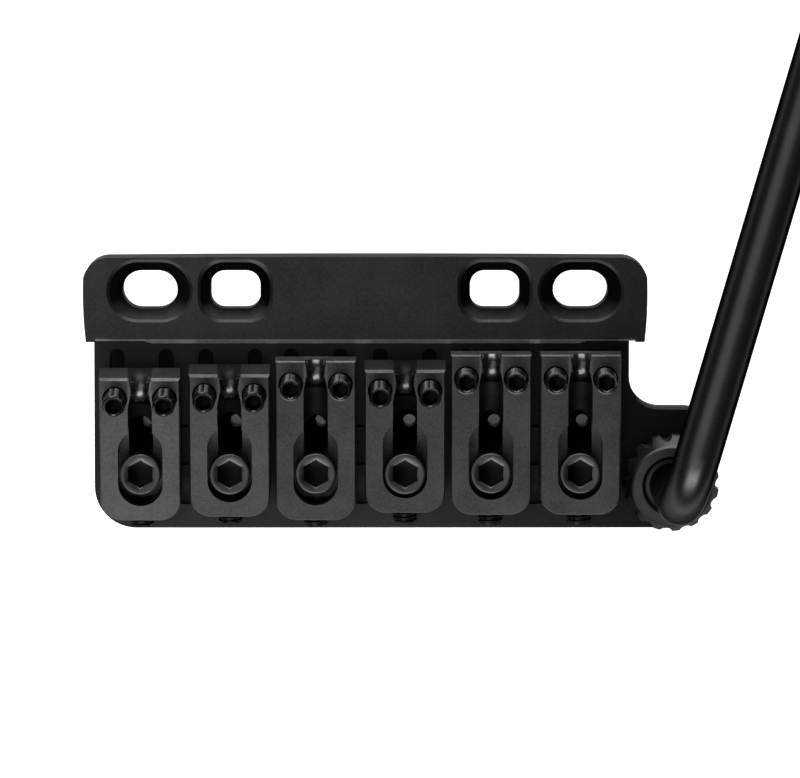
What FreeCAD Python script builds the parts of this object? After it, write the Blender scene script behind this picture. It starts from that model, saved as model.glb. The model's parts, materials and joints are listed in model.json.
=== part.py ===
"""Six-string tremolo bridge with a hinged base plate, pitched saddles and a push-in arm.

Frame in mm: origin at the centre of the front plate's underside, on the row of screw slots.
+X points to the arm side, +Y to the neck and +Z up from the instrument's top.
"""
import math
import os

import FreeCAD
import Part

V = FreeCAD.Vector
X_DIR = V(1, 0, 0)
Y_DIR = V(0, 1, 0)
Z_DIR = V(0, 0, 1)

# Front plate, screwed to the instrument's top
plate_top = 6.4
plate_half = 34.85
plate_rear_inset = 0.3
plate_front = 4.1
plate_front_bow = 0.12
plate_rear = -6.5
plate_rear_ends = -6.2
plate_rear_corner = -6.35
plate_corner_x = 3.4
plate_corner_y = 2.5
plate_corner_pull = 0.9
rear_bevel_run = 0.45
rear_bevel_drop = 0.08
relief_inset = 1.45
relief_len = 7.0
relief_run = 1.0
channel_air = 0.45
relief_outer = plate_half - relief_inset
relief_inner = relief_outer - relief_len

# Countersunk slots for the wood screws
outer_slot_inset = 8.2
slot_pitch = 10.6
outer_slot_x = plate_half - outer_slot_inset
inner_slot_x = outer_slot_x - slot_pitch
outer_slot_len = 6.8
inner_slot_len = 6.15
slot_width = 4.75
inner_slot_round = 1.75
outer_rim_len = 10.7
inner_rim_len = 9.3
rim_width = 7.8
inner_rim_round = 2.9
rim_lip = 0.35
rim_lip_drop = 0.17
rim_depth = 2.5

# Hinge between the front plate and the base plate
pivot_y = -4.75
pivot_z = 3.1
nose_r = 1.6
hinge_gap = 0.25
dive_deg = 20.0
lug_r = 1.5
lug_inset = 3.25
lug_in = plate_half - lug_inset
pin_r = 0.9
pin_cover = 0.65
pin_fit = 0.03
pin_end = plate_half - pin_cover
bush_r = 1.25
bush_len = 5.4
bush_gap = 0.4
bush_room = 0.4
bush_out = lug_in - bush_gap
bush_in = bush_out - bush_len
pin_in = bush_in + bush_room

# Base plate with the arm ear
base_t = 3.2
base_left_inset = 1.25
base_right_inset = 2.15
base_left = base_left_inset - plate_half
base_right = plate_half - base_right_inset
base_rear = -29.65
base_corner = 5.2
base_chamfer = 0.3
ear_front = -14.6
ear_reach = 10.7
ear_right = base_right + ear_reach
ear_front_round = 4.0
ear_rear_round = 6.0
ear_fillet = 3.8

# String spacing: three pairs, each pair spread a little about its block screw
string_centre = -0.6
string_pitch = 10.8
pair_spread = 0.1
string_hole_y = -16.9
string_hole_r = 2.0
string_hole_aside = 0.6
string_slot_half = 1.6
string_slot_front = -14.7
string_slot_rear = -20.4

# Grooves that guide the feet of the height screws
groove_w = 1.85
groove_d = 0.5
groove_front = -7.3
groove_rear = -15.4

# Block under the base plate
block_left = -31.0
block_right = 29.8
block_front = -12.4
block_rear = -25.2
block_h = 36.0
block_chamfer = 0.8
funnel_depth = 3.4
web_r = 0.8
web_depth = 4.0
ball_r = 2.35
hook_r = 1.35
hook_depth = 7.0
hook_y = -14.9
hook_pitch = 10.6
block_screw_y = -20.3
block_screw_head_r = 3.2
block_screw_head_h = 1.5
block_screw_r = 1.95
block_screw_len = 12.0
block_screw_hex = 3.0
block_screw_floor = 0.3
pocket_half = 3.6
pocket_rear = -26.7
pocket_d = 1.75

# Saddles: heel centre, pitch and length of each, from the left
saddle_w = 9.95
saddle_h = 5.0
short_len = 18.0
long_len = 20.0
prow_run = 0.9
heel_r = 0.8
heel_gap = 0.03
rear_round = 2.7
nose_undercut_y = 2.2
nose_undercut_z = 1.9
edge_break = 0.18
saddle_rows = [
    (-26.73, 9.5, short_len),
    (-26.27, 9.5, short_len),
    (-26.96, 5.5, long_len),
    (-25.86, 8.5, short_len),
    (-26.40, 4.0, long_len),
    (-26.40, 4.0, long_len),
]
slot_rear = 1.9
slot_front = 11.6
slot_half = 2.75
ledge_h = 1.8
throat_half = 1.5
throat_rear = 2.7
ramp_back_short = 5.9
ramp_back_long = 7.7
crest_back = 1.5
crest_drop = 0.5
crest_r = 2.5
tilt_deg = 1.5
slide_back = 2.0

# Height screws, two to a saddle
height_x = 3.05
height_back_short = 2.45
height_back_long = 2.95
height_hole_r = 1.55
height_r = 1.375
height_tip_r = 0.75
height_tip_len = 1.5
height_above = 3.8
height_break = 0.32
height_hex = 1.5
height_hex_d = 1.7
foot_gap = 0.02

# Lock screws
lock_y = -22.3
lock_head_r = 2.55
lock_head_h = 2.5
lock_head_break = 0.3
lock_hex = 3.0
lock_hex_d = 1.7
lock_cone_r = 1.95
lock_cone_d = 0.3
lock_shank_r = 1.2
lock_air = 0.12
lock_bore_d = 1.5
lock_tip_d = 1.2

# Intonation screws through each saddle's rear wall
inton_r = 1.5
inton_z = 2.1
inton_outs = [0.85, 0.8, 0.6, 1.4, 0.85, 0.85]
inton_tip_back = 0.1
inton_clear = 0.45
inton_break = 0.25
inton_hex = 1.5
inton_hex_d = 0.9

# Arm socket, liner, knob and arm
arm_inset = 5.6
arm_x = ear_right - arm_inset
arm_y = -23.75
arm_r = 2.75
liner_r = 3.25
fit = 0.03
socket_r = 4.4
socket_floor = 0.45
socket_top = 9.6
knob_bottom = 4.95
knob_top = 11.6
knob_r = 5.95
knob_ring_r = 5.0
knob_bore_r = 3.45
knob_shoulder = 7.9
knob_roof = 10.0
knob_ring_break = 0.25
flutes = 15
flute_r = 0.75
flute_bite = 0.6
liner_floor = 0.4
liner_top = 10.4
arm_foot = 2.45
arm_bend_z = 29.6
arm_bend_r = 7.2
arm_lean_deg = 16.0
arm_rise_deg = 3.0
arm_run = 78.0
arm_kink_r = 60.0
arm_kink_deg = 14.0
arm_reach = 42.0
tip_r = 3.6
tip_len = 22.0
tip_nose_r = 2.4
tip_grip = 12.0
tip_wall = 0.5

base_bottom = pivot_z - base_t / 2
base_top = base_bottom + base_t
spare = 1.0
big = 100.0


def line(a, b):
    return Part.LineSegment(a, b).toShape()


def arc(a, m, b):
    return Part.Arc(a, m, b).toShape()


def poly_prism_x(points, x0, x1):
    """Prism along X over a polygon of (y, z) points."""
    pts = [V(x0, y, z) for y, z in points]
    face = Part.Face(Part.makePolygon(pts + [pts[0]]))
    return face.extrude(V(x1 - x0, 0, 0))


def poly_prism_z(points, z0, z1):
    pts = [V(x, y, z0) for x, y in points]
    face = Part.Face(Part.makePolygon(pts + [pts[0]]))
    return face.extrude(V(0, 0, z1 - z0))


def box(x0, x1, y0, y1, z0, z1):
    return Part.makeBox(x1 - x0, y1 - y0, z1 - z0, V(x0, y0, z0))


def rod_x(r, x0, x1, y, z):
    return Part.makeCylinder(r, x1 - x0, V(x0, y, z), X_DIR)


def rod_z(r, x, y, z0, z1):
    return Part.makeCylinder(r, z1 - z0, V(x, y, z0), Z_DIR)


def hexagon(flats, x, y, z0, z1, turn_deg=0.0):
    r = flats / math.sqrt(3.0)
    points = []
    for k in range(6):
        a = math.radians(60.0 * k + turn_deg)
        points.append((x + r * math.cos(a), y + r * math.sin(a)))
    return poly_prism_z(points, z0, z1)


def stadium_wire(cx, cy, length, width, z):
    r = width / 2
    h = length / 2 - r
    top = line(V(cx - h, cy + r, z), V(cx + h, cy + r, z))
    right = arc(V(cx + h, cy + r, z), V(cx + h + r, cy, z), V(cx + h, cy - r, z))
    low = line(V(cx + h, cy - r, z), V(cx - h, cy - r, z))
    left = arc(V(cx - h, cy - r, z), V(cx - h - r, cy, z), V(cx - h, cy + r, z))
    return Part.Wire([top, right, low, left])


def round_rect_wire(cx, cy, length, width, r, z):
    x0, x1 = cx - length / 2, cx + length / 2
    y0, y1 = cy - width / 2, cy + width / 2
    q = r * (1 - math.sqrt(0.5))
    return Part.Wire([
        line(V(x0 + r, y1, z), V(x1 - r, y1, z)),
        arc(V(x1 - r, y1, z), V(x1 - q, y1 - q, z), V(x1, y1 - r, z)),
        line(V(x1, y1 - r, z), V(x1, y0 + r, z)),
        arc(V(x1, y0 + r, z), V(x1 - q, y0 + q, z), V(x1 - r, y0, z)),
        line(V(x1 - r, y0, z), V(x0 + r, y0, z)),
        arc(V(x0 + r, y0, z), V(x0 + q, y0 + q, z), V(x0, y0 + r, z)),
        line(V(x0, y0 + r, z), V(x0, y1 - r, z)),
        arc(V(x0, y1 - r, z), V(x0 + q, y1 - q, z), V(x0 + r, y1, z)),
    ])


def stadium_y(x, half, y0, y1, z0, z1):
    """Upright slot along Y with round ends at y0 and y1."""
    w = stadium_wire(0.0, 0.0, y1 - y0, 2 * half, 0.0)
    solid = Part.Face(w).extrude(V(0, 0, z1 - z0))
    solid.rotate(V(0, 0, 0), Z_DIR, 90)
    solid.translate(V(x, (y0 + y1) / 2, z0))
    return solid


def screw_slot(cx, length, rim_length, round_hole, round_rim):
    """Cutter for one countersunk slot: a plain hole with a tapered pocket and an eased lip."""
    over = rim_lip
    lip_drop = rim_lip_drop
    if round_hole is None:
        def wire(ln, wd, rr, z):
            return stadium_wire(cx, 0.0, ln, wd, z)
    else:
        def wire(ln, wd, rr, z):
            return round_rect_wire(cx, 0.0, ln, wd, rr, z)
    low = plate_top - rim_depth
    hole = Part.Face(wire(length, slot_width, round_hole, -plate_top)).extrude(V(0, 0, 3 * plate_top))
    taper = Part.makeLoft([
        wire(length, slot_width, round_hole, low),
        wire(rim_length - 2 * over, rim_width - 2 * over, round_rim, plate_top - lip_drop),
    ], True, True)
    eased = Part.makeLoft([
        wire(rim_length - 2 * over, rim_width - 2 * over, round_rim, plate_top - lip_drop),
        wire(rim_length, rim_width, round_rim, plate_top),
    ], True, True)
    return [hole, taper, eased]


def mirrored(shape):
    return shape.mirror(V(0, 0, 0), X_DIR)


def front_plate():
    yr, ye, yc = plate_rear, plate_rear_ends, plate_rear_corner
    ri, ro, rr = relief_inner, relief_outer, relief_run
    xs, xf = plate_half - plate_rear_inset, plate_half
    front_x = plate_half - plate_corner_x
    side_y = plate_front - plate_corner_y
    bend_x = plate_half - plate_corner_pull
    bend_y = plate_front - plate_corner_pull
    mid_side_y = (side_y + yc) / 2
    edges = [
        line(V(-ri, yr, 0), V(ri, yr, 0)),
        line(V(ri, yr, 0), V(ri + rr, ye, 0)),
        line(V(ri + rr, ye, 0), V(ro, ye, 0)),
        line(V(ro, ye, 0), V(ro, yc, 0)),
        line(V(ro, yc, 0), V(xs, yc, 0)),
        arc(V(xs, yc, 0), V(xf, mid_side_y, 0), V(xf, side_y, 0)),
        arc(V(xf, side_y, 0), V(bend_x, bend_y, 0), V(front_x, plate_front, 0)),
        arc(V(front_x, plate_front, 0), V(0, plate_front + plate_front_bow, 0), V(-front_x, plate_front, 0)),
        arc(V(-front_x, plate_front, 0), V(-bend_x, bend_y, 0), V(-xf, side_y, 0)),
        arc(V(-xf, side_y, 0), V(-xf, mid_side_y, 0), V(-xs, yc, 0)),
        line(V(-xs, yc, 0), V(-ro, yc, 0)),
        line(V(-ro, yc, 0), V(-ro, ye, 0)),
        line(V(-ro, ye, 0), V(-ri - rr, ye, 0)),
        line(V(-ri - rr, ye, 0), V(-ri, yr, 0)),
    ]
    body = Part.Face(Part.Wire(edges)).extrude(V(0, 0, plate_top))

    # Channel for the rounded nose of the base plate, with a roof that clears the dive
    room = nose_r + hinge_gap
    dive = math.radians(dive_deg)
    roof_y = plate_rear - nose_r
    lift_y = (roof_y - pivot_y - nose_r * math.sin(dive)) / math.cos(dive)
    roof_z = pivot_z - lift_y * math.sin(dive) + nose_r * math.cos(dive) + hinge_gap
    half = relief_outer + channel_air
    cuts = [
        rod_x(room, -half, half, pivot_y, pivot_z),
        poly_prism_x([
            (pivot_y + room, -plate_top),
            (pivot_y + room, pivot_z),
            (pivot_y, pivot_z + room),
            (roof_y, roof_z),
            (roof_y, -plate_top),
        ], -half, half),
    ]

    # Shallow bevel along the rear edge
    run, drop = rear_bevel_run, rear_bevel_drop
    for y, x0, x1 in ((yr, -ri - rr / 2, ri + rr / 2), (ye, ri + rr / 2, ro), (ye, -ro, -ri - rr / 2)):
        cuts.append(poly_prism_x([
            (y - run, plate_top - 2 * drop),
            (y + run, plate_top),
            (y + run, plate_top + drop),
            (y - run, plate_top + drop),
        ], x0, x1))

    for side in (-1, 1):
        outer, inner = side * outer_slot_x, side * inner_slot_x
        cuts += screw_slot(outer, outer_slot_len, outer_rim_len, None, None)
        cuts += screw_slot(inner, inner_slot_len, inner_rim_len, inner_slot_round, inner_rim_round)
    body = body.cut(cuts)

    # End lugs that carry the pins
    end = half + hinge_gap
    lug = rod_x(lug_r, lug_in, end, pivot_y, pivot_z)
    web = box(lug_in, end, pivot_y, pivot_y + room + hinge_gap, pivot_z - lug_r, pivot_z + lug_r)
    lug = lug.fuse(web)
    body = body.fuse([lug, mirrored(lug)])
    bores = [rod_x(pin_r, lug_in - spare, pin_end, pivot_y, pivot_z)]
    bores.append(mirrored(bores[0]))
    return body.cut(bores).removeSplitter()


def string_x(k):
    pair = -pair_spread if k % 2 == 0 else pair_spread
    return string_centre + (k - 2.5) * string_pitch + pair


def string_hole_x(k):
    return string_x(k) + string_hole_aside


def block_screw_x(j):
    return (string_x(2 * j) + string_x(2 * j + 1)) / 2


def base_plate():
    z0, z1 = base_bottom, base_top
    rc, er, ef = base_corner, ear_rear_round, ear_front_round
    q = 1 - math.sqrt(0.5)
    xl, xr, yb = base_left, base_right, base_rear
    ey, ex, fr = ear_front, ear_right, ear_fillet
    edges = [
        line(V(xr, pivot_y, z0), V(xl, pivot_y, z0)),
        line(V(xl, pivot_y, z0), V(xl, yb + rc, z0)),
        arc(V(xl, yb + rc, z0), V(xl + q * rc, yb + q * rc, z0), V(xl + rc, yb, z0)),
        line(V(xl + rc, yb, z0), V(ex - er, yb, z0)),
        arc(V(ex - er, yb, z0), V(ex - q * er, yb + q * er, z0), V(ex, yb + er, z0)),
        line(V(ex, yb + er, z0), V(ex, ey - ef, z0)),
        arc(V(ex, ey - ef, z0), V(ex - q * ef, ey - q * ef, z0), V(ex - ef, ey, z0)),
        line(V(ex - ef, ey, z0), V(xr + fr, ey, z0)),
        arc(V(xr + fr, ey, z0), V(xr + q * fr, ey + q * fr, z0), V(xr, ey + fr, z0)),
        line(V(xr, ey + fr, z0), V(xr, pivot_y, z0)),
    ]
    body = Part.Face(Part.Wire(edges)).extrude(V(0, 0, base_t))
    rim = []
    for e in body.Edges:
        b = e.BoundBox
        at_top = abs(b.ZMin - z1) < 1e-6 and abs(b.ZMax - z1) < 1e-6
        if at_top and b.YMin < pivot_y - nose_r:
            rim.append(e)
    body = body.makeChamfer(base_chamfer, rim)
    body = body.fuse(rod_x(nose_r, xl, xr, pivot_y, pivot_z))
    room = lug_r + hinge_gap
    cuts = []
    for x0, x1 in ((lug_in - hinge_gap, big), (-big, -lug_in + hinge_gap)):
        cuts.append(rod_x(room, x0, x1, pivot_y, pivot_z))
        cuts.append(box(x0, x1, pivot_y, 0, -big, big))
    cuts.append(rod_x(bush_r, bush_in, big, pivot_y, pivot_z))
    cuts.append(rod_x(bush_r, -big, -bush_in, pivot_y, pivot_z))
    low = base_bottom - base_t
    for k in range(6):
        x = string_x(k)
        cuts.append(stadium_y(x, string_slot_half, string_slot_rear, string_slot_front, low, base_top + base_t))
        cuts.append(rod_z(lock_shank_r, x, lock_y, low, base_top + base_t))
        for side in (-1, 1):
            gx = x + side * height_x
            cuts.append(stadium_y(gx, groove_w / 2, groove_rear, groove_front, z1 - groove_d, z1 + base_t))
    for j in range(3):
        x = block_screw_x(j)
        front = block_screw_y + pocket_half
        cuts.append(stadium_y(x, pocket_half, pocket_rear, front, z1 - pocket_d, z1 + base_t))
        cuts.append(rod_z(block_screw_r, x, block_screw_y, low, base_top))
    cuts.append(rod_z(socket_r, arm_x, arm_y, low, base_top + base_t))
    return body.cut(cuts).removeSplitter()


def block():
    x0, x1, y0, y1 = block_left, block_right, block_rear, block_front
    z1 = base_bottom
    z0 = z1 - block_h
    body = box(x0, x1, y0, y1, z0, z1)
    keep = []
    for e in body.Edges:
        b = e.BoundBox
        if b.ZMax - z1 < -1e-6 or abs(b.ZMax - b.ZMin) > 1e-6:
            keep.append(e)
    body = body.makeChamfer(block_chamfer, keep)
    funnel_z = z1 - funnel_depth
    web_z = funnel_z - web_depth
    cuts = []
    for k in range(6):
        x = string_hole_x(k)
        cuts.append(rod_z(string_hole_r, x, string_hole_y, funnel_z, z1 + spare))
        cuts.append(rod_z(web_r, x, string_hole_y, web_z - spare, z1))
        cuts.append(rod_z(ball_r, x, string_hole_y, z0 - spare, web_z))
        cuts.append(rod_z(lock_shank_r, string_x(k), lock_y, z1 - lock_bore_d, z1 + spare))
    for j in range(3):
        cuts.append(rod_z(block_screw_r, block_screw_x(j), block_screw_y, z1 - block_screw_len, z1 + spare))
    for i in range(5):
        hx = string_centre + (i - 2) * hook_pitch
        cuts.append(rod_z(hook_r, hx, hook_y, z0 - spare, z0 + hook_depth))
    return body.cut(cuts)


def block_screws():
    out = []
    z = base_top - pocket_d
    for j in range(3):
        x = block_screw_x(j)
        head = rod_z(block_screw_head_r, x, block_screw_y, z, z + block_screw_head_h)
        shank = rod_z(block_screw_r, x, block_screw_y, base_bottom - block_screw_len, z)
        top = z + block_screw_head_h
        hexa = hexagon(block_screw_hex, x, block_screw_y, z + block_screw_floor, top + spare)
        out.append(head.fuse(shank).cut(hexa).removeSplitter())
    return out


def pivot_pin():
    return rod_x(pin_r, pin_in, pin_end, pivot_y, pivot_z)


def pivot_bush():
    outer = rod_x(bush_r, bush_in, bush_out, pivot_y, pivot_z)
    return outer.cut(rod_x(pin_r + pin_fit, bush_in - spare, bush_out + spare, pivot_y, pivot_z))


def seat(shape, k):
    """Places a shape drawn in a saddle's own frame, heel at the origin, on the base plate."""
    heel_y, pitch, _ = saddle_rows[k]
    shape.translate(V(0, -heel_r, -heel_r))
    shape.rotate(V(0, 0, 0), X_DIR, pitch)
    shape.translate(V(string_x(k), heel_y, base_top + heel_r + heel_gap))
    return shape


def height_y(length):
    """Place of the height screws along a saddle."""
    return length - (height_back_short if length == short_len else height_back_long)


def ramp_angle(length):
    """Slope of the string ramp that reaches the saddle's underside at its distance behind the front."""
    lo, hi = math.radians(20), math.radians(80)
    ramp_back = ramp_back_short if length == short_len else ramp_back_long
    rise = saddle_h - crest_drop - crest_r
    for _ in range(60):
        a = (lo + hi) / 2
        back = crest_back + crest_r * math.sin(a) + (rise + crest_r * math.cos(a)) / math.tan(a)
        if back > ramp_back:
            lo = a
        else:
            hi = a
    return (lo + hi) / 2


def saddle(k):
    length = saddle_rows[k][2]
    front = length + prow_run if length == short_len else length
    w, h, rr = saddle_w / 2, saddle_h, rear_round
    q = 1 - math.sqrt(0.5)
    edges = [
        line(V(-w, front, 0), V(-w, rr, 0)),
        arc(V(-w, rr, 0), V(-w + q * rr, q * rr, 0), V(-w + rr, 0, 0)),
        line(V(-w + rr, 0, 0), V(w - rr, 0, 0)),
        arc(V(w - rr, 0, 0), V(w - q * rr, q * rr, 0), V(w, rr, 0)),
        line(V(w, rr, 0), V(w, front, 0)),
        line(V(w, front, 0), V(-w, front, 0)),
    ]
    body = Part.Face(Part.Wire(edges)).extrude(V(0, 0, h))
    rim = []
    for e in body.Edges:
        b = e.BoundBox
        if abs(b.ZMin - h) < 1e-6 and abs(b.ZMax - h) < 1e-6:
            rim.append(e)
    body = body.makeChamfer(edge_break, rim)

    far = 2 * h
    cuts = [poly_prism_x([
        (length - nose_undercut_y, 0),
        (length + far, nose_undercut_z * (1 + far / nose_undercut_y)),
        (length + far, -far),
        (length - nose_undercut_y, -far),
    ], -2 * w, 2 * w)]

    # Raked front of the short saddles, with its crest eased
    if front > length:
        foot_z = nose_undercut_z * (1 + prow_run / nose_undercut_y)
        e = edge_break
        cuts.append(poly_prism_x([
            (length - e, h),
            (length + e, h - e),
            (front, foot_z),
            (front + far, foot_z),
            (front + far, far),
            (length - e, far),
        ], -2 * w, 2 * w))

    # Rounded heel that rocks on the base plate
    heel = box(-2 * w, 2 * w, -heel_r, heel_r, -heel_r, heel_r)
    heel = heel.cut(rod_x(heel_r, -2 * w, 2 * w, heel_r, heel_r))
    cuts.append(heel)

    # Counterbored slot for the lock screw and the narrow slot through it
    cuts.append(stadium_y(0.0, slot_half, slot_rear, slot_front, ledge_h, far))
    half = throat_half
    a = ramp_angle(length)
    cy = length - crest_back
    cz = h - crest_drop - crest_r
    mid_r = crest_r + half
    ty = cy - mid_r * math.sin(a)
    tz = cz + mid_r * math.cos(a)
    run = (tz + far) / math.tan(a)
    cuts.append(poly_prism_x([
        (ty, tz),
        (ty, far),
        (throat_rear + half, far),
        (throat_rear + half, ledge_h),
        (throat_rear + half, -far),
        (ty - run, -far),
    ], -half, half))
    cuts.append(rod_z(half, 0.0, throat_rear + half, -far, far))
    down = V(0, -math.cos(a), -math.sin(a))
    cuts.append(Part.makeCylinder(half, far * 2, V(0, ty, tz), down))
    ring = Part.Face(Part.Wire(Part.makeCircle(half, V(0, ty, tz), down)))
    front_turn = 90.0 + math.degrees(a)
    cuts.append(ring.revolve(V(0, cy, cz), X_DIR, -front_turn))

    for side in (-1, 1):
        cuts.append(rod_z(height_hole_r, side * height_x, height_y(length), -far, 2 * far))
    cuts.append(Part.makeCylinder(inton_r, slot_rear + inton_clear + far, V(0, -far, inton_z), Y_DIR))
    body = body.cut(cuts)
    parts = sorted(body.Solids, key=lambda s: -s.Volume)
    return seat(parts[0], k)


def height_screws(k):
    _, pitch, length = saddle_rows[k]
    p = math.radians(pitch)
    y = height_y(length)
    floor = base_top - groove_d + foot_gap
    tip_z = floor + height_tip_r - (base_top + heel_r + heel_gap)
    low = heel_r + (tip_z - (y - heel_r) * math.sin(p)) / math.cos(p)
    top = saddle_h + height_above
    out = []
    for side in (-1, 1):
        x = side * height_x
        tip = Part.makeSphere(height_tip_r, V(x, y, low))
        dog = rod_z(height_tip_r, x, y, low, low + height_tip_len)
        body = rod_z(height_r, x, y, low + height_tip_len, top - height_break)
        eased = height_r - height_break
        crown = Part.makeCone(height_r, eased, height_break, V(x, y, top - height_break), Z_DIR)
        solid = tip.fuse([dog, body, crown])
        solid = solid.cut(hexagon(height_hex, x, y, top - height_hex_d, top + spare, 30.0))
        out.append(seat(solid.removeSplitter(), k))
    return out


def lock_head_z(k):
    """Underside of the lock screw's head, just above the ledge at the ends of the saddle's travel."""
    heel_y, pitch, _ = saddle_rows[k]
    p = math.radians(pitch + tilt_deg)
    reach = lock_y - heel_y + lock_head_r + slide_back
    rise = (ledge_h - heel_r) / math.cos(p)
    return base_top + heel_r + heel_gap + reach * math.tan(p) + rise + lock_air


def lock_screw(k):
    x, z = string_x(k), lock_head_z(k)
    top = z + lock_head_h
    b = lock_head_break
    head = rod_z(lock_head_r, x, lock_y, z, top - b)
    crown = Part.makeCone(lock_head_r, lock_head_r - b, b, V(x, lock_y, top - b), Z_DIR)
    shank = rod_z(lock_shank_r, x, lock_y, base_bottom - lock_tip_d, z)
    solid = head.fuse([crown, shank])
    dish = Part.makeCone(lock_hex / 2, lock_cone_r, lock_cone_d, V(x, lock_y, top - lock_cone_d), Z_DIR)
    hexa = hexagon(lock_hex, x, lock_y, top - lock_hex_d, top + spare, 30.0)
    return solid.cut([dish, hexa]).removeSplitter()


def inton_screw(k):
    out = inton_outs[k]
    tip = slot_rear - inton_tip_back
    b = inton_break
    body = Part.makeCylinder(inton_r, tip + out - 2 * b, V(0, -out + b, inton_z), Y_DIR)
    rear = Part.makeCone(inton_r - b, inton_r, b, V(0, -out, inton_z), Y_DIR)
    nose = Part.makeCone(inton_r, inton_r - b, b, V(0, tip - b, inton_z), Y_DIR)
    solid = body.fuse([rear, nose])
    hexa = hexagon(inton_hex, 0.0, 0.0, -spare, inton_hex_d)
    hexa.rotate(V(0, 0, 0), X_DIR, -90)
    hexa.translate(V(0, -out, inton_z))
    return seat(solid.cut(hexa).removeSplitter(), k)


def arm_socket():
    tube = rod_z(socket_r, arm_x, arm_y, base_bottom, socket_top)
    return tube.cut(rod_z(liner_r + fit, arm_x, arm_y, base_bottom + socket_floor, socket_top + socket_floor))


def arm_liner():
    low = base_bottom + socket_floor + fit
    tube = rod_z(liner_r, arm_x, arm_y, low, liner_top)
    return tube.cut(rod_z(arm_r + fit, arm_x, arm_y, low + liner_floor, liner_top + liner_floor))


def arm_knob():
    c = V(arm_x, arm_y, 0)
    b = knob_ring_break
    points = [
        (socket_r + fit, knob_bottom),
        (knob_r - b, knob_bottom),
        (knob_r, knob_bottom + b),
        (knob_r, knob_shoulder),
        (knob_ring_r, knob_top - b),
        (knob_ring_r - b, knob_top),
        (knob_bore_r + b, knob_top),
        (knob_bore_r, knob_top - b),
        (knob_bore_r, knob_roof),
        (socket_r + fit, knob_roof),
    ]
    pts = [c + V(r, 0, z) for r, z in points]
    body = Part.Face(Part.makePolygon(pts + [pts[0]])).revolve(c, Z_DIR, 360)
    cuts = []
    for i in range(flutes):
        a = 2 * math.pi * i / flutes
        d = knob_r + flute_r - flute_bite
        x, y = arm_x + d * math.cos(a), arm_y + d * math.sin(a)
        cuts.append(rod_z(flute_r, x, y, knob_bottom - spare, knob_top + spare))
    return body.cut(cuts)


def arm_path():
    """Points and headings of the arm's centre line: upright, bend, straight run, long easy bend and reach."""
    lean = math.radians(arm_lean_deg)
    out = V(math.sin(lean), math.cos(lean), 0)
    foot = V(arm_x, arm_y, arm_foot)
    knee = V(arm_x, arm_y, arm_bend_z)
    turn = math.radians(90 - arm_rise_deg)
    centre = knee + out * arm_bend_r
    mid = centre - out * (arm_bend_r * math.cos(turn / 2)) + Z_DIR * (arm_bend_r * math.sin(turn / 2))
    end = centre - out * (arm_bend_r * math.cos(turn)) + Z_DIR * (arm_bend_r * math.sin(turn))
    way = out * math.sin(turn) + Z_DIR * math.cos(turn)
    run_end = end + way * arm_run
    kink = math.radians(arm_kink_deg)
    side = out * math.cos(turn) - Z_DIR * math.sin(turn)
    kc = run_end + side * arm_kink_r
    kmid = kc - side * (arm_kink_r * math.cos(kink / 2)) + way * (arm_kink_r * math.sin(kink / 2))
    kend = kc - side * (arm_kink_r * math.cos(kink)) + way * (arm_kink_r * math.sin(kink))
    kway = way * math.cos(kink) + side * math.sin(kink)
    reach = kend + kway * arm_reach
    wire = Part.Wire([
        line(foot, knee),
        arc(knee, mid, end),
        line(end, run_end),
        arc(run_end, kmid, kend),
        line(kend, reach),
    ])
    return wire, reach, kway


def arm():
    wire, _, _ = arm_path()
    ring = Part.Wire(Part.makeCircle(arm_r, V(arm_x, arm_y, arm_foot), Z_DIR))
    return wire.makePipeShell([ring], True, True)


def arm_tip():
    _, reach, way = arm_path()
    grip = reach - way * tip_grip
    body = Part.makeCone(arm_r + tip_wall, tip_r, tip_grip, grip, way)
    rest = tip_len - tip_grip - tip_nose_r
    stem = Part.makeCylinder(tip_r, rest, reach, way)
    nose = Part.makeCone(tip_r, tip_r - tip_nose_r / 2, tip_nose_r, reach + way * rest, way)
    solid = body.fuse([stem, nose])
    return solid.cut(Part.makeCylinder(arm_r, tip_grip + spare, grip - way * spare, way)).removeSplitter()


def save(name, shapes):
    if not isinstance(shapes, list):
        shapes = [shapes]
    solids = []
    for s in shapes:
        solids += s.Solids
    whole = solids[0] if len(solids) == 1 else Part.makeCompound(solids)
    whole.exportStep("parts/" + name + ".step")


def main():
    os.makedirs("parts", exist_ok=True)
    save("anchor_plate", front_plate())
    save("base_plate", base_plate())
    save("sustain_block", block())
    save("block_screws", block_screws())
    save("pivot_pin_right", pivot_pin())
    save("pivot_pin_left", mirrored(pivot_pin()))
    save("pivot_bush_right", pivot_bush())
    save("pivot_bush_left", mirrored(pivot_bush()))
    for k in range(6):
        n = str(k + 1)
        save("saddle_" + n, saddle(k))
        save("height_screws_" + n, height_screws(k))
        save("lock_screw_" + n, lock_screw(k))
        save("intonation_screw_" + n, inton_screw(k))
    save("arm_socket", arm_socket())
    save("arm_liner", arm_liner())
    save("arm_knob", arm_knob())
    save("arm", arm())
    save("arm_tip", arm_tip())


main()
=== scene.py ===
"""Looks of a blackened steel tremolo bridge, seen from above on a white table."""
import json
import math

import bmesh
import bpy
import numpy as np
from mathutils import Matrix, Vector


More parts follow.
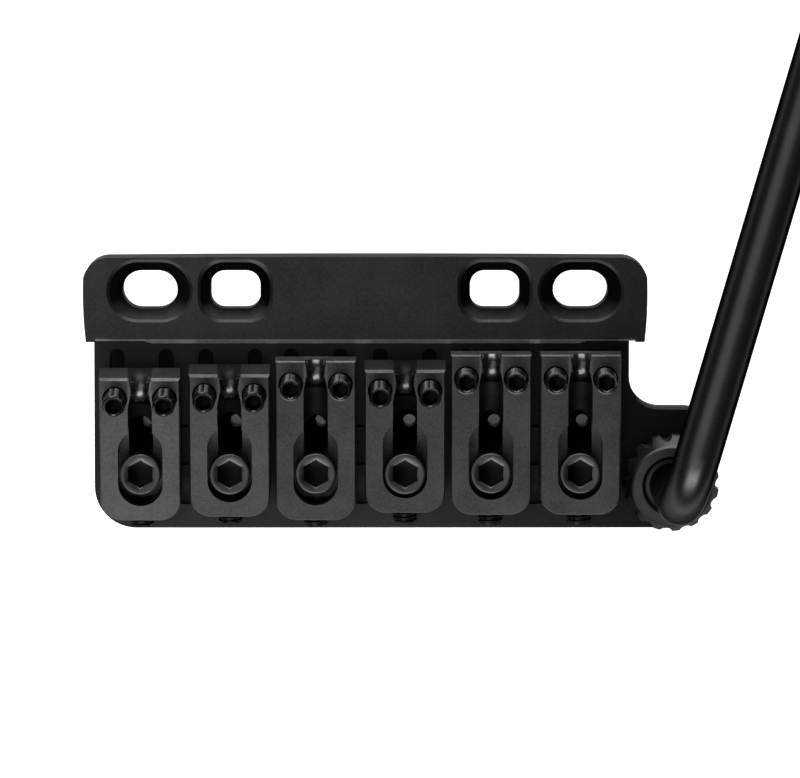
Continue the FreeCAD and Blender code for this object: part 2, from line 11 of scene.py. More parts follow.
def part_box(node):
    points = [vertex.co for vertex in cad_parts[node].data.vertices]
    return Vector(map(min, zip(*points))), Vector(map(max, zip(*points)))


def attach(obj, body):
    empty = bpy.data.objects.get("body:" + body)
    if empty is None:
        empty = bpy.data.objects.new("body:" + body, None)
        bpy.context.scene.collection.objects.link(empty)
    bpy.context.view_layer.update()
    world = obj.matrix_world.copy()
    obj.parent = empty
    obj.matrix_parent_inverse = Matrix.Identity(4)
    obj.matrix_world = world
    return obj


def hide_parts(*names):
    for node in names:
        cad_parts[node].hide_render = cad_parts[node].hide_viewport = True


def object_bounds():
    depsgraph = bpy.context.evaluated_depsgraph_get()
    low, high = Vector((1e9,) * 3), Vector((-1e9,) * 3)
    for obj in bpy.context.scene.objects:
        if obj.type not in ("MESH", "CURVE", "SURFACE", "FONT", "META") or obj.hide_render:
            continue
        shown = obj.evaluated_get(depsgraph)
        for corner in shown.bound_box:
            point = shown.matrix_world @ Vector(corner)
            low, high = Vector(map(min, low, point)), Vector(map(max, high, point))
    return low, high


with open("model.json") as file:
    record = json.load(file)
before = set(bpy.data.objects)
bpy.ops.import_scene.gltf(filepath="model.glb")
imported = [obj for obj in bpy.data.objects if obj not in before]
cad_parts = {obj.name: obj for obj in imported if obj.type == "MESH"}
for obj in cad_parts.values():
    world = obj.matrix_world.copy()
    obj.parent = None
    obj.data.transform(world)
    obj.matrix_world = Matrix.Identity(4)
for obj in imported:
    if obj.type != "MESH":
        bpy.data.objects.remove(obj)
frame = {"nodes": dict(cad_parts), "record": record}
cad_low, cad_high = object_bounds()

MM = 0.001
STRINGS = range(1, 7)
LONG_SADDLES = (3, 5, 6)

# Camera: above the neck side of the bridge, looking down and a little back
CAMERA_AT = Vector((1.8, 58.8, 770.0)) * MM
CAMERA_TARGET = Vector((4.3, -12.3, 5.0)) * MM
SENSOR_MM = 36.0
LENS_MM = 279.0
CLIP_M = (0.01, 100.0)

# Table and light; each lamp has its place, target, width and height in mm, and its watts
TABLE_HALF = 20.0
TABLE_GAP = 0.1 * MM
TABLE_GREY = 0.8
TABLE_ROUGH = 0.9
TABLE_GLOW = 0.92
WORLD_LEVEL = 0.07
LAMPS = {
    "top_softbox": ((-260, -110, 900), (0, -15, 0), 760, 700, 1.35),
    "rear_softbox": ((-100, -640, 660), (0, -15, 0), 800, 380, 4.5),
    "neck_softbox": ((-60, 640, 520), (0, -10, 0), 800, 380, 5.0),
}

# Screw details in mm
HEIGHT_PITCH = 0.5
HEIGHT_THREAD = 0.24
HEIGHT_HEX = 1.75
HEIGHT_HEX_DEPTH = 2.0
HEIGHT_SINK = 0.12
HEIGHT_BREAK = 0.28
HEIGHT_DOG_R = 0.75
HEIGHT_DOG_LEN = 2.2
INTON_PITCH = 0.5
INTON_THREAD = 0.24
INTON_HEX = 1.5
INTON_HEX_DEPTH = 0.9
INTON_BREAK = 0.25
LOCK_HEX = 3.0
LOCK_HEX_DEPTH = 1.8
LOCK_RIM = 0.24
LOCK_RING_R = 1.95
LOCK_BEVEL = 0.14
LOCK_HEAD_H = 2.5
LOCK_SHANK_R = 1.2
DRILL_POINT_DEG = 59.0
DRILL_SHARE = 0.98

# How much further each intonation screw stands out than its solid, in mm
INTON_REACH = (0.45, 0.6, 0.55, 0.4, 0.7, 0.7)

# Mesh steps of the screws, the slant of a thread's flanks and the angle of a sharp edge
RING_STEPS = 48
THREAD_STEPS = 8
ROUND_STEPS = 5
FLANK_SLANT = 2.4
FLANK_START = 0.7
SHARP_DEG = 35.0

# Surface: the ramp's ends and the noise's middle range, the share of the grain and its relief in mm
RAMP_ENDS = (0.35, 0.65)
NOISE_RANGE = (0.3, 0.7)
NOISE_ROUGH = 0.6
GRAIN_SHARE = 0.45
RELIEF_MM = 0.02
# Painted shade in the screw sockets: the gain on the colour there
RECESS_SHADE = 0.11

# Saddles: colours with painted light per saddle, the string-worn throat, and places with painted light,
# shade and highlight, with their lengths in mm and gains
SADDLE_DARK = 0.05
SADDLE_LIGHT = 0.092
# Painted light: a gain on each saddle's colour for how brightly it is lit
SADDLE_PAINTED_FALLOFF = (1.0, 0.84, 0.84, 0.68, 0.88, 0.86)
POLISH_GAIN = 1.5
POLISH_ROUGH = 0.24
POLISH_LONG_MM = 3.7
POLISH_SHORT_MM = 4.4
POLISH_HALF_MM = 1.47
# Painted shade over the front of a short saddle's throat
PROW_MM = 1.5
PROW_SHADE = 0.3
# Painted light on a long saddle's front face, rising towards its foot
FACE_MM = 1.2
FACE_PAINTED_LIGHT = 5.0
FACE_FADE_MM = (1.0, 2.6)
# Painted highlight along a short saddle's crest
CREST_MM = 0.5
CREST_PAINTED_HIGHLIGHT = 2.4
CREST_TURN = (0.12, 0.6)
# Painted shade on a short saddle's raked front
RAKE_MM = 1.7
RAKE_SHADE = 0.82
FRONT_TURN = 0.6

# Plates and block: a warm cast, and places with painted light, highlight and shade, in the same way
WARM = (1.03, 0.985, 1.0)
# Painted highlight along the front plate's rear bevel
REAR_EDGE_MM = 0.5
REAR_EDGE_HALF_MM = 33.4
REAR_EDGE_HIGHLIGHT = 4.6
# Painted light on the front plate's walls that look to the neck
WALL_MM = 1.0
WALL_TURN = 0.5
WALL_PAINTED_LIGHT = 2.2
# Painted light on the screw seats' rear walls, strongest near the top
SEAT_PAINTED_LIGHT = 7.0
SEAT_DEPTH_MM = 2.6
SEAT_LIP_MM = 0.18
SEAT_FRONT_MM = 1.5
SEAT_TURN = (0.3, 0.8)
# Painted shade towards the front plate's right end
PLATE_RIGHT_MM = (0.0, 34.0)
PLATE_RIGHT_SHADE = 0.7
# Painted shade on the floors of the base plate's grooves
GROOVE_MM = 0.34
GROOVE_SHADE = 0.4
GROOVE_REAR_MM = -16.0
# Painted shade towards the base plate's right end
BASE_RIGHT_MM = (8.0, 34.0)
BASE_RIGHT_SHADE = 0.45
# Painted light towards the base plate's rear
BASE_REAR_MM = (-22.0, -28.0)
BASE_REAR_PAINTED_LIGHT = 1.5
# Painted light on the ear's walls that look to the neck
EAR_FRONT_MM = -13.0
EAR_WALL_PAINTED_LIGHT = 4.0
# Painted shade over the top of the block, under the base plate
FUNNEL_MM = 3.6
FUNNEL_SHADE = 0.08

# Knob and arm: painted light, shade and reflection, in the same way
# Painted light on the knob's flutes that look to the neck, painted shade on those that look back and towards
# the right
FLUTE_TURN = (0.1, 0.6)
FLUTE_FRONT_PAINTED_LIGHT = 2.4
FLUTE_REAR_SHADE = 0.5
FLUTE_RIGHT_MM = (38.0, 43.0)
FLUTE_RIGHT_SHADE = 0.45
# Painted light on the arm where it looks up
ARM_TOP_PAINTED_LIGHT = 3.6
ARM_TOP_TURN = (0.56, 0.96)
# Painted reflection on the arm's bend where it doesn't look up
ELBOW_PAINTED_REFLECTION = 4.5
ELBOW_TURN = (0.8, 0.4)
ELBOW_MM = (-19.0, -24.0)
ELBOW_FOOT_MM = (22.0, 30.0)


def new_material(name):
    mat = bpy.data.materials.new(name)
    mat.use_nodes = True
    tree = mat.node_tree
    return mat, tree, tree.nodes["Principled BSDF"]


def add(tree, kind, **values):
    """Adds a node; keys with a leading capital set its input sockets."""
    node = tree.nodes.new(kind)
    for key, value in values.items():
        if key[0].isupper():
            node.inputs[key.replace("_", " ")].default_value = value
        else:
            setattr(node, key, value)
    return node


def math_node(tree, operation, *values, clamp=False):
    """A math node on links and plain numbers."""
    node = add(tree, "ShaderNodeMath", operation=operation, use_clamp=clamp)
    for socket, value in zip(node.inputs, values):
        if isinstance(value, (int, float)):
            socket.default_value = value
        else:
            tree.links.new(value, socket)
    return node.outputs["Value"]


def above(tree, value, level):
    return math_node(tree, "GREATER_THAN", value, level)


def below(tree, value, level):
    return math_node(tree, "LESS_THAN", value, level)


def both(tree, *masks):
    """Product of masks."""
    product = masks[0]
    for mask in masks[1:]:
        product = math_node(tree, "MULTIPLY", product, mask)
    return product


def slope(tree, value, start, end):
    """Mask that rises from 0 at start to 1 at end."""
    return math_node(tree, "MULTIPLY_ADD", value, 1.0 / (end - start), start / (start - end), clamp=True)


def split(tree, vector):
    """The three parts of a vector."""
    parts = add(tree, "ShaderNodeSeparateXYZ")
    tree.links.new(vector, parts.inputs[0])
    return parts.outputs["X"], parts.outputs["Y"], parts.outputs["Z"]


def facing(tree):
    """The three parts of the surface's normal."""
    return split(tree, add(tree, "ShaderNodeTexCoord").outputs["Normal"])


def noise(tree, coords, size_mm, detail):
    """Noise whose blotches are about size_mm across."""
    scale = 1.0 / (size_mm * MM)
    tex = add(tree, "ShaderNodeTexNoise", Scale=scale, Detail=detail, Roughness=NOISE_ROUGH)
    tree.links.new(coords, tex.inputs["Vector"])
    return tex.outputs["Fac"]


def ramp(tree, factor, colours):
    """Runs from one colour to the other between the ramp's ends."""
    node = add(tree, "ShaderNodeValToRGB")
    for element, place, colour in zip(node.color_ramp.elements, RAMP_ENDS, colours):
        element.position = place
        element.color = (*colour, 1.0)
    tree.links.new(factor, node.inputs["Fac"])
    return node.outputs["Color"]


def spread(tree, factor, low, high):
    """Maps a noise's middle range to low and high."""
    node = add(tree, "ShaderNodeMapRange", clamp=True, From_Min=NOISE_RANGE[0], From_Max=NOISE_RANGE[1],
               To_Min=low, To_Max=high)
    tree.links.new(factor, node.inputs["Value"])
    return node.outputs["Result"]


def tint(tree, mask, colour, gain):
    """Multiplies a colour by gain where the mask is 1."""
    node = add(tree, "ShaderNodeMix", data_type="RGBA", blend_type="MULTIPLY", clamp_result=False)
    factor, first, second = [i for i in node.inputs if i.enabled]
    second.default_value = (gain, gain, gain, 1.0)
    tree.links.new(mask, factor)
    tree.links.new(colour, first)
    return [o for o in node.outputs if o.enabled][0]


def blackened(name, dark, light, rough, grain_mm, bump, blotch_mm=9.0, edge=0.35, touches=(), metal=1.0):
    """Dark surface: blotches and grain in the colour, grain in the relief, and painted shade in screw
    sockets.

    Each touch is a mask, the gain on the colour there and the roughness there; most touches paint light,
    shade, a highlight or a reflection into the colour.
    """
    mat, tree, shader = new_material(name)
    coords = add(tree, "ShaderNodeTexCoord").outputs["Object"]
    blotch = noise(tree, coords, blotch_mm, 4.0)
    grain = noise(tree, coords, grain_mm, 2.0)
    broad = math_node(tree, "MULTIPLY", blotch, 1.0 - GRAIN_SHARE)
    mixed = math_node(tree, "MULTIPLY_ADD", grain, GRAIN_SHARE, broad)
    colour = ramp(tree, mixed, (dark, light))
    roughness = spread(tree, blotch, rough[0], rough[1])
    recess = add(tree, "ShaderNodeAttribute", attribute_name="recess").outputs["Fac"]
    # Painted shade in the screw sockets
    colour = tint(tree, recess, colour, RECESS_SHADE)
    for place, gain, level in touches:
        mask = place(tree, coords)
        colour = tint(tree, mask, colour, gain)
        smooth = add(tree, "ShaderNodeMix")
        smooth.inputs["B"].default_value = level
        tree.links.new(mask, smooth.inputs["Factor"])
        tree.links.new(roughness, smooth.inputs["A"])
        roughness = smooth.outputs["Result"]
    tree.links.new(colour, shader.inputs["Base Color"])
    tree.links.new(roughness, shader.inputs["Roughness"])
    height = add(tree, "ShaderNodeBump", Strength=bump, Distance=RELIEF_MM * MM)
    tree.links.new(grain, height.inputs["Height"])
    tree.links.new(height.outputs["Normal"], shader.inputs["Normal"])
    shader.inputs["Metallic"].default_value = metal
    shader.inputs["Specular Tint"].default_value = (edge, edge, edge, 1.0)
    return mat


def throat(node, length_mm):
    """Mask of the front length_mm of a saddle's throat."""
    low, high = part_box(node)
    centre = (low.x + high.x) / 2
    start = high.y - length_mm * MM

    def mask(tree, coords):
        x, y, _ = split(tree, coords)
        aside = math_node(tree, "ABSOLUTE", math_node(tree, "SUBTRACT", x, centre))
        return both(tree, below(tree, aside, POLISH_HALF_MM * MM), above(tree, y, start))

    return mask


def front(node, depth_mm, turn):
    """Mask of what looks to the neck within depth_mm of a node's front."""
    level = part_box(node)[1].y - depth_mm * MM

    def mask(tree, coords):
        return both(tree, above(tree, facing(tree)[1], turn), above(tree, split(tree, coords)[1], level))

    return mask


def front_face(node):
    """Mask of a long saddle's front face, rising towards its foot."""
    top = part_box(node)[1].z
    ahead = front(node, FACE_MM, FRONT_TURN)

    def mask(tree, coords):
        z = split(tree, coords)[2]
        down = slope(tree, z, top + FACE_FADE_MM[0] * MM, top - FACE_FADE_MM[1] * MM)
        return both(tree, ahead(tree, coords), down)

    return mask


def crest(node):
    """Mask of the eased edge between a short saddle's top and its raked front."""
    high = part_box(node)[1]

    def mask(tree, coords):
        _, y, z = split(tree, coords)
        tilt = facing(tree)[1]
        eased = both(tree, above(tree, tilt, CREST_TURN[0]), below(tree, tilt, CREST_TURN[1]))
        near = both(tree, above(tree, z, high.z - CREST_MM * MM), above(tree, y, high.y - RAKE_MM * MM))
        return both(tree, eased, near)

    return mask


def across(axis, start_mm, end_mm):
    """Mask that rises from start_mm to end_mm along an axis of the frame."""
    def mask(tree, coords):
        return slope(tree, split(tree, coords)[axis], start_mm * MM, end_mm * MM)

    return mask


def turned(axis, start, end):
    """Mask that rises as one part of the normal goes from start to end."""
    def mask(tree, coords):
        return slope(tree, facing(tree)[axis], start, end)

    return mask


def ear_wall(tree, coords):
    """Mask of the walls behind the nose that look to the neck."""
    behind = below(tree, split(tree, coords)[1], EAR_FRONT_MM * MM)
    return both(tree, above(tree, facing(tree)[1], WALL_TURN), behind)


def elbow(tree, coords):
    """Mask of the arm's bend where it doesn't look up."""
    _, y, z = split(tree, coords)
    behind = slope(tree, y, ELBOW_MM[0] * MM, ELBOW_MM[1] * MM)
    risen = slope(tree, z, ELBOW_FOOT_MM[0] * MM, ELBOW_FOOT_MM[1] * MM)
    return both(tree, slope(tree, facing(tree)[2], *ELBOW_TURN), behind, risen)


def grooves(node):
    """Mask of the floors that the height screws stand on."""
    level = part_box(node)[1].z - GROOVE_MM * MM

    def mask(tree, coords):
        _, y, z = split(tree, coords)
        return both(tree, below(tree, z, level), above(tree, y, GROOVE_REAR_MM * MM))

    return mask


def top_layer(node, depth_mm):
    """Mask of everything within depth_mm of a node's top."""
    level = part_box(node)[1].z - depth_mm * MM

    def mask(tree, coords):
        return above(tree, split(tree, coords)[2], level)

    return mask


def rear_edge(node):
    """Mask of the bevel along a node's rear edge between its end lugs, for a painted highlight."""
    low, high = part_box(node)
    level = low.y + REAR_EDGE_MM * MM
    top = high.z - REAR_EDGE_MM * MM

    def mask(tree, coords):
        x, y, z = split(tree, coords)
        between = below(tree, math_node(tree, "ABSOLUTE", x), REAR_EDGE_HALF_MM * MM)
        return both(tree, between, below(tree, y, level), above(tree, z, top))

    return mask


def seat_walls(node):
    """Mask of the screw seats' rear walls, strongest near the top, for painted light."""
    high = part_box(node)[1]
    top = high.z
    ahead = high.y - SEAT_FRONT_MM * MM

    def mask(tree, coords):
        _, y, z = split(tree, coords)
        looking = slope(tree, facing(tree)[1], *SEAT_TURN)
        rise = slope(tree, z, top - SEAT_DEPTH_MM * MM, top)
        under_lip = below(tree, z, top - SEAT_LIP_MM * MM)
        return both(tree, looking, rise, under_lip, below(tree, y, ahead))

    return mask


def grey(level, cast=(1.0, 1.0, 1.0)):
    return tuple(level * c for c in cast)


def saddle_material(k):
    """Throat worn smooth by the string; painted light on the long saddles' fronts; painted shade over the
    short saddles' lip and raked front, and a painted highlight on their crest; and a painted light level per
    saddle.
    """
    node = f"saddle_{k}"
    if k in LONG_SADDLES:
        wear_and_painted_light = [(throat(node, POLISH_LONG_MM), POLISH_GAIN, POLISH_ROUGH),
                  # Painted light on the front face
                  (front_face(node), FACE_PAINTED_LIGHT, 0.45)]
    else:
        wear_and_painted_light = [(throat(node, POLISH_SHORT_MM), POLISH_GAIN, POLISH_ROUGH),
                  # Painted shade over the front of the throat
                  (throat(node, PROW_MM), PROW_SHADE, 0.5),
                  # Painted shade on the raked front
                  (front(node, RAKE_MM, FRONT_TURN), RAKE_SHADE, 0.5),
                  # Painted highlight on the crest
                  (crest(node), CREST_PAINTED_HIGHLIGHT, 0.4)]
    # Each saddle's colour carries its painted light level
    tone = SADDLE_PAINTED_FALLOFF[k - 1]
    dark = grey(SADDLE_DARK * tone)
    light = grey(SADDLE_LIGHT * tone)
    return blackened(f"saddle_blasted_{k}", dark, light, (0.42, 0.52), 0.3, 0.5, 6.0, 0.8, wear_and_painted_light)


def make_materials():
    """Materials by slot, or by node where a node has its own."""
    # Front plate: painted highlight on the rear bevel, painted light on the seats' rear walls and on the
    # walls that look to the neck, painted shade towards the right end
    plate = [(rear_edge("anchor_plate"), REAR_EDGE_HIGHLIGHT, 0.45),
             (seat_walls("anchor_plate"), SEAT_PAINTED_LIGHT, 0.45),
             (front("anchor_plate", WALL_MM, WALL_TURN), WALL_PAINTED_LIGHT, 0.42),
             (across(0, *PLATE_RIGHT_MM), PLATE_RIGHT_SHADE, 0.42)]
    # Base plate: painted shade in the grooves and towards the right end, painted light towards the rear and
    # on the ear's walls that look to the neck
    base = [(grooves("base_plate"), GROOVE_SHADE, 0.5),
            (across(0, *BASE_RIGHT_MM), BASE_RIGHT_SHADE, 0.42),
            (across(1, *BASE_REAR_MM), BASE_REAR_PAINTED_LIGHT, 0.42),
            (ear_wall, EAR_WALL_PAINTED_LIGHT, 0.45)]
    # Painted shade over the block's top
    block = [(top_layer("sustain_block", FUNNEL_MM), FUNNEL_SHADE, 0.6)]
    # Knob: painted light and shade on the flutes by the way they face
    flutes = [(turned(1, FLUTE_TURN[0], FLUTE_TURN[1]), FLUTE_FRONT_PAINTED_LIGHT, 0.42),
              (turned(1, -FLUTE_TURN[0], -FLUTE_TURN[1]), FLUTE_REAR_SHADE, 0.42),
              (across(0, *FLUTE_RIGHT_MM), FLUTE_RIGHT_SHADE, 0.42)]
    # Arm: painted light where it looks up and a painted reflection on its bend
    arm_painted_light = [(turned(2, *ARM_TOP_TURN), ARM_TOP_PAINTED_LIGHT, 0.32),
            (elbow, ELBOW_PAINTED_REFLECTION, 0.36)]
    satin = (0.36, 0.46)
    materials = {
        "front_plate": blackened("front_plate_black", grey(0.03, WARM), grey(0.05, WARM), satin, 0.4, 0.3,
                                 edge=0.15, touches=plate),
        "base_plate": blackened("base_plate_black", grey(0.022), grey(0.03), satin, 0.25, 0.2, touches=base),
        "block": blackened("block_black", grey(0.07), grey(0.09), satin, 0.3, 0.25, touches=block),
        "screws": blackened("screw_black", grey(0.065), grey(0.09), (0.3, 0.4), 0.2, 0.12, 2.0, 0.6),
        "height_screws": blackened("screw_glossy", grey(0.036), grey(0.052), (0.2, 0.28), 0.2, 0.12,
                                   2.0, 0.6),
        # Painted shade: a darker copy of the screw steel for the intonation screws, block screws and arm
        # socket
        "shaded_screws": blackened("screw_painted_shade", grey(0.02), grey(0.03), satin, 0.2, 0.12, 2.0),
        "knob": blackened("knob_black", grey(0.06), grey(0.08), (0.32, 0.42), 0.2, 0.2, 4.0, touches=flutes),
        "arm": blackened("arm_black", grey(0.016), grey(0.021), (0.3, 0.38), 0.22, 0.3, 5.0, 0.15, arm_painted_light),
        "liner": blackened("liner_nylon", grey(0.026), grey(0.034), (0.45, 0.55), 0.3, 0.15,
                           edge=1.0, metal=0.0),
        "tip": blackened("tip_plastic", grey(0.018), grey(0.023), (0.4, 0.5), 0.35, 0.3,
                         edge=1.0, metal=0.0),
        "pins": blackened("pin_steel", grey(0.42), grey(0.55), (0.2, 0.28), 0.1, 0.1, 3.0, 1.0),
        "bush": blackened("bush_bronze", (0.42, 0.29, 0.13), (0.55, 0.4, 0.2), (0.3, 0.4), 0.1, 0.1,
                          3.0, 1.0),
    }
    materials["block_screws"] = materials["shaded_screws"]
    materials["arm_socket"] = materials["shaded_screws"]
    for k in STRINGS:
        materials[f"saddle_{k}"] = saddle_material(k)
    return materials


def dress_nodes(materials):
    """A node has the material of its own name where there is one, and otherwise its slot's."""
    for row in frame["record"]["subparts"]:
        material = materials.get(row["node"]) or materials[row["material_slot"]]
        for slot in frame["nodes"][row["node"]].material_slots:
            slot.material = material


def loose_parts(node):
    """Vertex clouds of a node's separate solids, in mm."""
    bm = bmesh.new()
    bm.from_mesh(frame["nodes"][node].data)
    bmesh.ops.remove_doubles(bm, verts=bm.verts, dist=0.001 * MM)
    bm.verts.ensure_lookup_table()
    seen = set()
    clouds = []
    for start in bm.verts:
        if start.index in seen:
            continue
        stack, cloud = [start], []
        seen.add(start.index)
        while stack:
            vert = stack.pop()
            cloud.append(vert.co / MM)
            for edge in vert.link_edges:
                other = edge.other_vert(vert)
                if other.index not in seen:
                    seen.add(other.index)
                    stack.append(other)
        clouds.append(np.array(cloud))
    bm.free()
    return clouds


def turned_axis(cloud, towards):
    """Place matrix, length and radius of a turned piece, with its foot at zero and +Z the given way."""
    mean = cloud.mean(0)
    _, _, rows = np.linalg.svd(cloud - mean)
    way = rows[int(np.argmax(np.abs(rows @ np.array(towards))))]
    if way @ np.array(towards) < 0:
        way = -way
    axis = Vector(way)
    side = (Vector((1, 0, 0)) - axis * axis.x).normalized()
    place = Matrix((side, axis.cross(side), axis)).transposed()
    local = (cloud - mean) @ np.array(place)
    low, high = local.min(0), local.max(0)
    centre = (low + high) / 2
    foot = np.array(place) @ np.array((centre[0], centre[1], low[2])) + mean
    length = high[2] - low[2]
    radius = max(high[0] - low[0], high[1] - low[1]) / 2
    return Matrix.Translation(foot) @ place.to_4x4(), length, radius


def new_screw():
    """Empty mesh with the layer that paints shade into its sockets."""
    bm = bmesh.new()
    bm.verts.layers.float.new("recess")
    return bm


def circle_ring(bm, radius, z):
    verts = []
    for i in range(RING_STEPS):
        a = 2 * math.pi * i / RING_STEPS
        verts.append(bm.verts.new((radius * math.cos(a), radius * math.sin(a), z)))
    return verts


def thread_ring(bm, outer, depth, pitch, z):
    """One ring of a helical thread: the radius rises and falls once round each turn."""
    verts = []
    for i in range(RING_STEPS):
        turn = i / RING_STEPS
        phase = (z / pitch - turn) % 1.0
        cut = depth * min(1.0, max(0.0, FLANK_SLANT * abs(2 * phase - 1) - FLANK_START))
        a = 2 * math.pi * turn
        r = outer - cut
        verts.append(bm.verts.new((r * math.cos(a), r * math.sin(a), z)))
    return verts


def add_thread(bm, rings, radius, depth, pitch, start, end):
    """Rings of a thread from start up to end."""
    z = start
    while z < end:
        rings.append(thread_ring(bm, radius, depth, pitch, z))
        z += pitch / THREAD_STEPS


def hex_ring(bm, flats, z):
    """Hexagon with a corner pointing to +Y."""
    verts = []
    for i in range(RING_STEPS):
        a = 2 * math.pi * i / RING_STEPS
        off = (a + math.pi / 6) % (math.pi / 3) - math.pi / 6
        r = flats / 2 / math.cos(off)
        verts.append(bm.verts.new((r * math.cos(a), r * math.sin(a), z)))
    return verts


def socket_end(bm, rings, flats, depth, top):
    """Hex socket with the drill's cone at its floor. Returns the cone's tip, which closes the last ring."""
    floor = top - depth
    drill = flats / 2 * DRILL_SHARE
    inside = [hex_ring(bm, flats, top), hex_ring(bm, flats, floor), circle_ring(bm, drill, floor)]
    tip = bm.verts.new((0, 0, floor - drill / math.tan(math.radians(DRILL_POINT_DEG))))
    # The socket's floor and drill cone get painted shade
    recess = bm.verts.layers.float["recess"]
    for vert in inside[1] + inside[2] + [tip]:
        vert[recess] = 1.0
    rings += inside
    return tip


def skin(bm, foot, rings, tip):
    """Closed skin from the foot over the rings to the tip."""
    for i in range(RING_STEPS):
        j = (i + 1) % RING_STEPS
        bm.faces.new((rings[0][j], rings[0][i], foot))
    for low, high in zip(rings, rings[1:]):
        for i in range(RING_STEPS):
            j = (i + 1) % RING_STEPS
            bm.faces.new((low[i], low[j], high[j], high[i]))
    for i in range(RING_STEPS):
        j = (i + 1) % RING_STEPS
        bm.faces.new((rings[-1][i], rings[-1][j], tip))


def finish_piece(name, bm, place, body, material, node):
    bm.transform(Matrix.Scale(MM, 4) @ place)
    bmesh.ops.recalc_face_normals(bm, faces=bm.faces)
    mesh = bpy.data.meshes.new(name)
    bm.to_mesh(mesh)
    bm.free()
    for poly in mesh.polygons:
        poly.use_smooth = True
    mesh.set_sharp_from_angle(angle=math.radians(SHARP_DEG))
    mesh.materials.append(material)
    piece = bpy.data.objects.new(name, mesh)
    bpy.context.scene.collection.objects.link(piece)
    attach(piece, body)
    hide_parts(node)


def merge(bm, other):
    mesh = bpy.data.meshes.new("part")
    other.to_mesh(mesh)
    other.free()
    bm.from_mesh(mesh)
    bpy.data.meshes.remove(mesh)


def add_height_screw(bm, cloud):
    """Set screw that stands on its dog point, with its socket up."""
    place, length, radius = turned_axis(cloud, (0, 0, 1))
    screw = new_screw()
    foot = screw.verts.new((0, 0, 0))
    rings = []
    r = HEIGHT_DOG_R
    for step in range(1, ROUND_STEPS + 1):
        a = math.pi / 2 * step / ROUND_STEPS
        rings.append(circle_ring(screw, r * math.sin(a), r * (1 - math.cos(a))))
    rings.append(circle_ring(screw, r, HEIGHT_DOG_LEN))
    top = length - HEIGHT_BREAK
    add_thread(screw, rings, radius, HEIGHT_THREAD, HEIGHT_PITCH, HEIGHT_DOG_LEN, top)
    rings.append(circle_ring(screw, radius - HEIGHT_THREAD / 2, top))
    rings.append(circle_ring(screw, radius - HEIGHT_BREAK, length))
    rings.append(circle_ring(screw, HEIGHT_HEX / math.sqrt(3) + HEIGHT_SINK, length))
    tip = socket_end(screw, rings, HEIGHT_HEX, HEIGHT_HEX_DEPTH, length - HEIGHT_SINK)
    skin(screw, foot, rings, tip)
    screw.transform(place)
    merge(bm, screw)


def make_height_screws(material):
    for k in STRINGS:
        bm = new_screw()
        node = f"height_screws_{k}"
        for cloud in loose_parts(node):
            add_height_screw(bm, cloud)
        finish_piece(f"height_screw_pair_{k}", bm, Matrix.Identity(4), f"carriage_{k}",
                     material, node)


def make_intonation_screws(material):
    """Set screws with their sockets to the rear."""
    for k in STRINGS:
        node = f"intonation_screw_{k}"
        place, length, radius = turned_axis(loose_parts(node)[0], (0, -1, 0))
        length += INTON_REACH[k - 1]
        bm = new_screw()
        foot = bm.verts.new((0, 0, 0))
        rings = [circle_ring(bm, radius - INTON_BREAK, 0.0)]
        add_thread(bm, rings, radius, INTON_THREAD, INTON_PITCH, INTON_BREAK, length - INTON_BREAK)
        rings.append(circle_ring(bm, radius - INTON_BREAK, length))
        tip = socket_end(bm, rings, INTON_HEX, INTON_HEX_DEPTH, length)
        skin(bm, foot, rings, tip)
        finish_piece(f"intonation_set_screw_{k}", bm, place, f"saddle_{k}", material, node)


def make_lock_screws(material):
    """Cap screws: rounded rim, flat ring, a bevel into the hex socket and a drilled cone at its floor."""
    for k in STRINGS:
        node = f"lock_screw_{k}"
        place, length, radius = turned_axis(loose_parts(node)[0], (0, 0, 1))
        bm = new_screw()
        foot = bm.verts.new((0, 0, 0))
        head = length - LOCK_HEAD_H
        rings = [circle_ring(bm, LOCK_SHANK_R, 0.0),
                 circle_ring(bm, LOCK_SHANK_R, head),
                 circle_ring(bm, radius, head)]
        for step in range(ROUND_STEPS + 1):
            a = math.pi / 2 * step / ROUND_STEPS
            inset = LOCK_RIM * (1 - math.cos(a))
            drop = LOCK_RIM * (1 - math.sin(a))
            rings.append(circle_ring(bm, radius - inset, length - drop))
        rings.append(circle_ring(bm, LOCK_RING_R, length))
        tip = socket_end(bm, rings, LOCK_HEX, LOCK_HEX_DEPTH, length - LOCK_BEVEL)
        skin(bm, foot, rings, tip)
        finish_piece(f"lock_cap_screw_{k}", bm, place, "bridge", material, node)


def area_light(name, at_mm, target_mm, width_mm, height_mm, watts):
    data = bpy.data.lights.new(name, "AREA")
    data.shape = "RECTANGLE"
    data.size = width_mm * MM
    data.size_y = height_mm * MM
    data.energy = watts
    lamp = bpy.data.objects.new(name, data)
    bpy.context.scene.collection.objects.link(lamp)
    lamp.location = Vector(at_mm) * MM
    way = Vector(target_mm) - Vector(at_mm)
    lamp.rotation_euler = way.to_track_quat("-Z", "Y").to_euler()


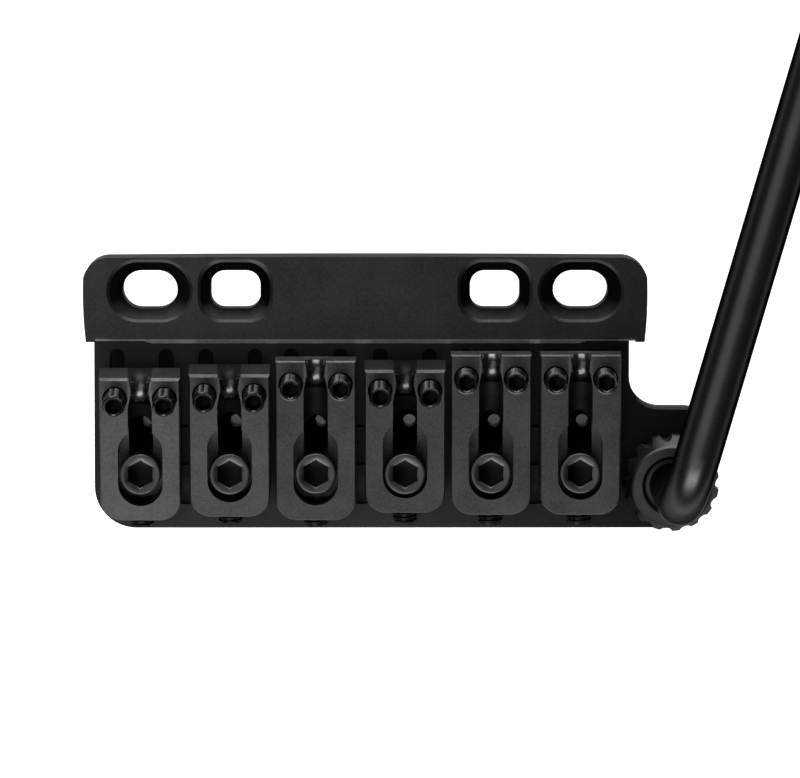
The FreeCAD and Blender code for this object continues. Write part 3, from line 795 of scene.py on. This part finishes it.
def make_table():
    """White table: pale under the lamps, and white to the camera and in reflections."""
    mat, tree, shader = new_material("table_white")
    shader.inputs["Base Color"].default_value = (TABLE_GREY, TABLE_GREY, TABLE_GREY, 1.0)
    shader.inputs["Roughness"].default_value = TABLE_ROUGH
    path = add(tree, "ShaderNodeLightPath").outputs
    seen = math_node(tree, "MAXIMUM", path["Is Camera Ray"], path["Is Glossy Ray"])
    any_seen = math_node(tree, "MAXIMUM", seen, path["Is Transmission Ray"])
    glow = math_node(tree, "MULTIPLY", any_seen, TABLE_GLOW)
    shader.inputs["Emission Color"].default_value = (1.0, 1.0, 1.0, 1.0)
    tree.links.new(glow, shader.inputs["Emission Strength"])
    mesh = bpy.data.meshes.new("table")
    z = cad_low.z - TABLE_GAP
    h = TABLE_HALF
    mesh.from_pydata([(-h, -h, z), (h, -h, z), (h, h, z), (-h, h, z)], [], [(0, 1, 2, 3)])
    mesh.materials.append(mat)
    table = bpy.data.objects.new("table", mesh)
    bpy.context.scene.collection.objects.link(table)


def make_world():
    world = bpy.data.worlds.new("studio")
    bpy.context.scene.world = world
    world.use_nodes = True
    back = world.node_tree.nodes["Background"]
    back.inputs["Color"].default_value = (1.0, 1.0, 1.0, 1.0)
    back.inputs["Strength"].default_value = WORLD_LEVEL


def make_camera():
    data = bpy.data.cameras.new("camera")
    data.sensor_width = SENSOR_MM
    data.lens = LENS_MM
    data.clip_start, data.clip_end = CLIP_M
    camera = bpy.data.objects.new("camera", data)
    bpy.context.scene.collection.objects.link(camera)
    back = (CAMERA_AT - CAMERA_TARGET).normalized()
    right = Vector((0, 1, 0)).cross(back).normalized()
    up = back.cross(right)
    turn = Matrix((right, up, back)).transposed().to_4x4()
    camera.matrix_world = Matrix.Translation(CAMERA_AT) @ turn
    bpy.context.scene.camera = camera


materials = make_materials()
dress_nodes(materials)
make_height_screws(materials["height_screws"])
# The intonation screws get the darker screw colour, painted shade
make_intonation_screws(materials["shaded_screws"])
make_lock_screws(materials["screws"])
make_table()
make_world()
for lamp_name, lamp_values in LAMPS.items():
    area_light(lamp_name, *lamp_values)
make_camera()
bpy.context.scene.view_settings.view_transform = "Standard"
